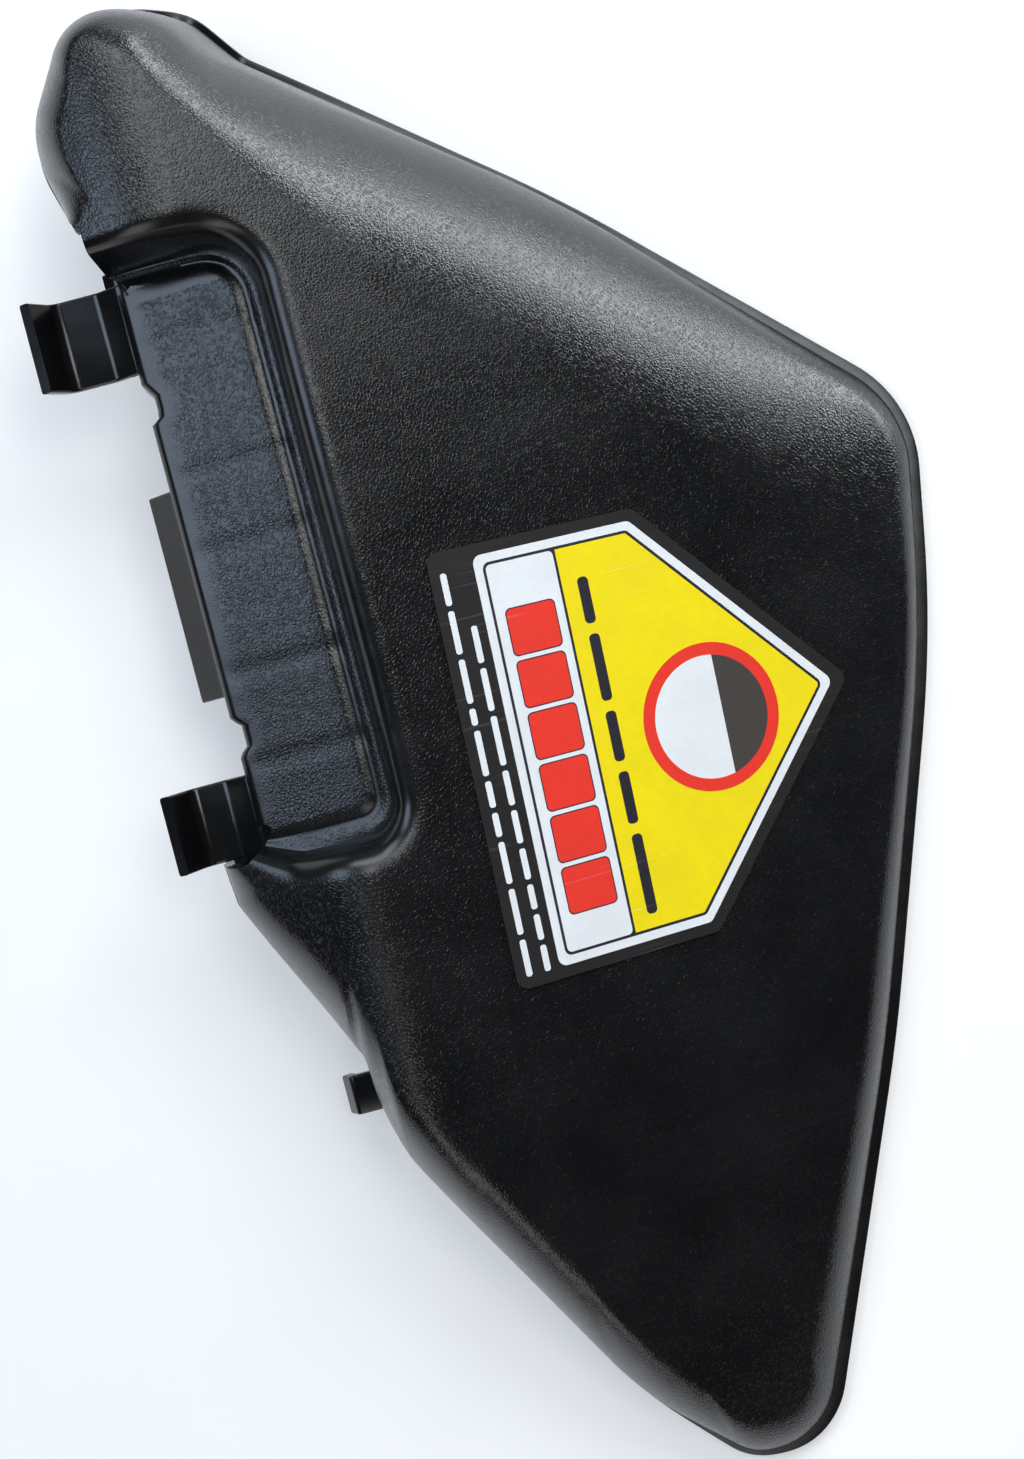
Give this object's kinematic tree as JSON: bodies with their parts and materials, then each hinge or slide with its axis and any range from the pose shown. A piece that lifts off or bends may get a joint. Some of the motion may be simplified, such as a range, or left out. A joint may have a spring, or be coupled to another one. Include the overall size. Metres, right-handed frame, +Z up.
{
  "type": "side discharge chute",
  "caption": "Moulded black deflector hood for a walk-behind mower's side outlet, with two hinge hooks and a printed film.",
  "frame": {"origin": "middle of the footprint, on the plane of the rim", "axes": "+Z up out of the main face, +Y along the hinge edge towards the round lobe, +X from the hinge edge to the outlet edge"},
  "size_m": [0.2068, 0.397, 0.0754],
  "materials": {
    "black_plastic": "fine leather grain, satin",
    "printed_film": "gloss laminated print in fields of black, white, yellow and red"
  },
  "bodies": {
    "root": {"chute_moulding": "black_plastic", "decal_film": "printed_film"}
  },
  "joints": []
}
